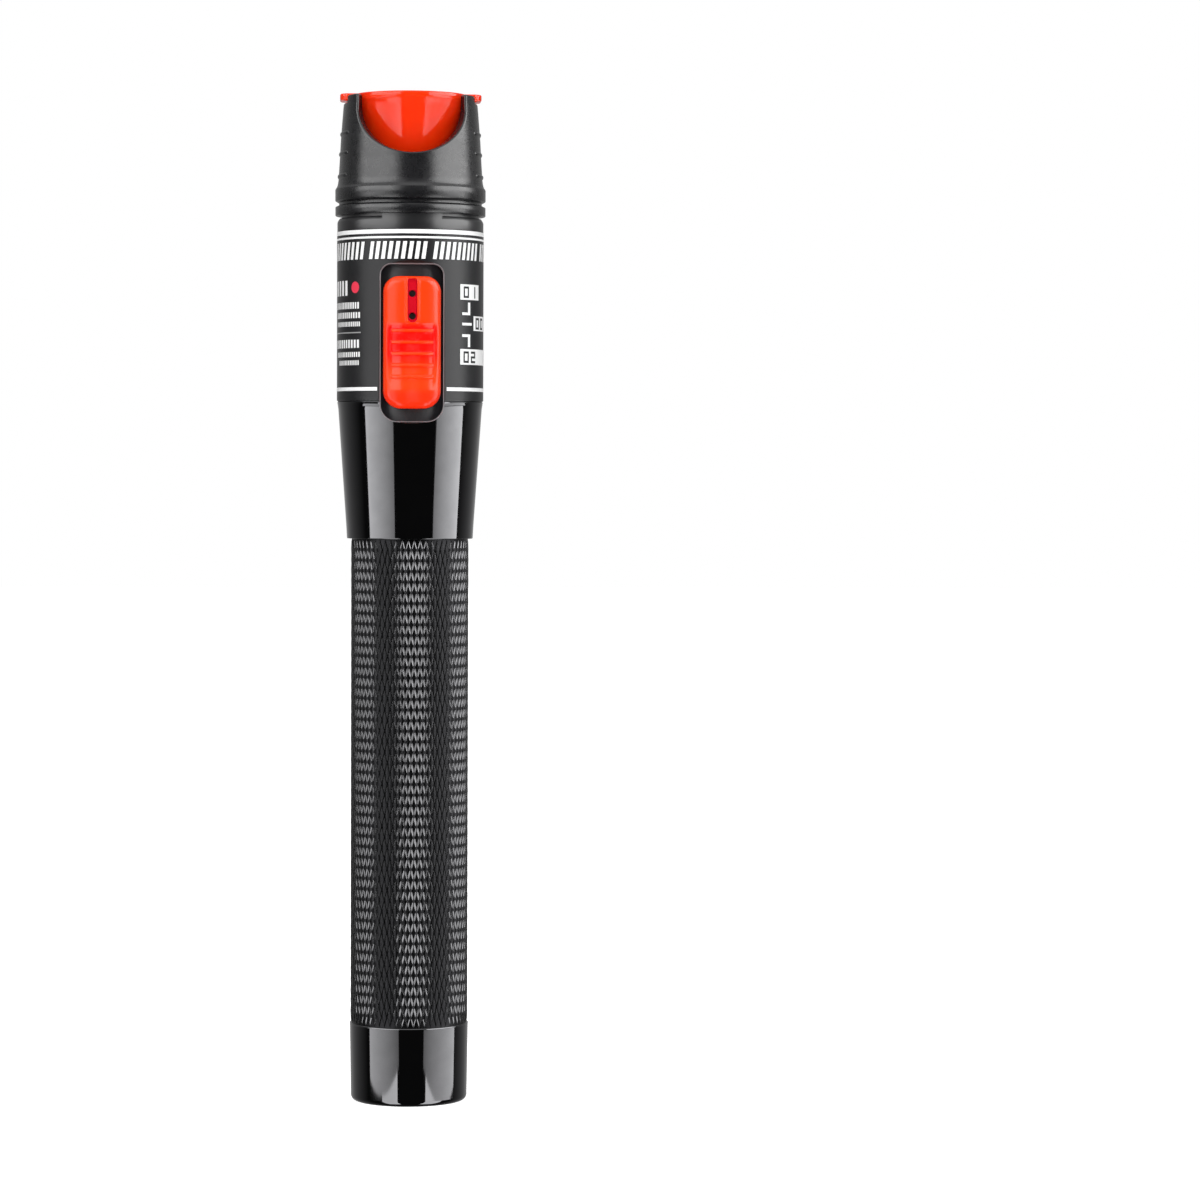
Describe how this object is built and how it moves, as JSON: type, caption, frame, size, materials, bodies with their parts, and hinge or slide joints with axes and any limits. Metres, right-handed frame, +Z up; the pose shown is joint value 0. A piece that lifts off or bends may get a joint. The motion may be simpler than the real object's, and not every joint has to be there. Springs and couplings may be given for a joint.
{
  "type": "visual fault locator",
  "caption": "Pen-shaped visual fault locator: knurled barrel, red slide switch, labelled housing and a fibre port under a red dust cap in a scalloped shroud.",
  "frame": {"origin": "middle of the flat base of the tail cap, where the axis meets the surface it stands on", "axes": "+Z up the axis from tail cap to port; -Y is the front, with the slide switch; +X to the right seen from the front"},
  "size_m": [0.0258, 0.0268, 0.1726],
  "materials": {
    "cell_wrap": "glossy shrink film",
    "knurled_grip": "black anodised, diamond knurl",
    "gloss_black": "polished black anodised",
    "housing_black": "satin moulded",
    "label_film": "matt printed film",
    "white_insulator": "moulded",
    "brass": "turned",
    "board_green": "solder mask",
    "chip_black": "moulded",
    "capacitor_can": "drawn can",
    "steel": "plain",
    "nickel": "nickel plated",
    "lens_glass": "polished",
    "zirconia": "ground",
    "shroud_black": "satin soft moulding",
    "button_red": "semi-gloss moulded",
    "plate_black": "moulded",
    "cap_red": "semi-gloss soft moulding",
    "ring_rubber": "plain"
  },
  "bodies": {
    "handle": {"battery_rear": "cell_wrap", "battery_front": "cell_wrap", "barrel_tube": "knurled_grip", "taper_collar": "gloss_black", "upper_housing": "housing_black", "label_sleeve": "label_film", "contact_holder": "white_insulator", "front_contact": "brass", "circuit_board": "board_green", "driver_chip": "chip_black", "chip_resistors": "chip_black", "supply_capacitor": "capacitor_can", "slide_switch_body": "steel", "laser_module_housing": "brass", "laser_diode": "steel", "lens_spring": "steel", "collimating_lens": "lens_glass", "ferrule_holder": "nickel", "ceramic_sleeve": "zirconia", "module_retainer": "brass", "head_shroud": "shroud_black"},
    "switch": {"switch_button": "button_red", "switch_slide_plate": "plate_black", "slide_switch_lever": "chip_black"},
    "cap": {"dust_cap": "cap_red"},
    "tail_travel": {"tail_spring": "steel"},
    "tail": {"tail_cap": "gloss_black", "tail_o_ring": "ring_rubber", "tail_contact": "brass"}
  },
  "joints": [
    {"name": "switch_slide", "type": "slide", "parent": "handle", "child": "switch", "axis": [0, 0, 1], "range_m": [-0.002, 0.002]},
    {"name": "cap_pull", "type": "slide", "parent": "handle", "child": "cap", "axis": [0, 0, 1], "range_m": [0, 0.03]},
    {"name": "tail_back_off", "type": "slide", "parent": "handle", "child": "tail_travel", "axis": [0, 0, -1], "range_m": [0, 0.008]},
    {"name": "tail_turn", "type": "hinge", "parent": "tail_travel", "child": "tail", "pos_m": [0, 0, 0], "axis": [0, 0, -1], "range_deg": [0, 2880]}
  ],
  "couplings": [
    {"joint": "tail_back_off", "follows": "tail_turn", "m_per_rad": 0.00015915}
  ]
}
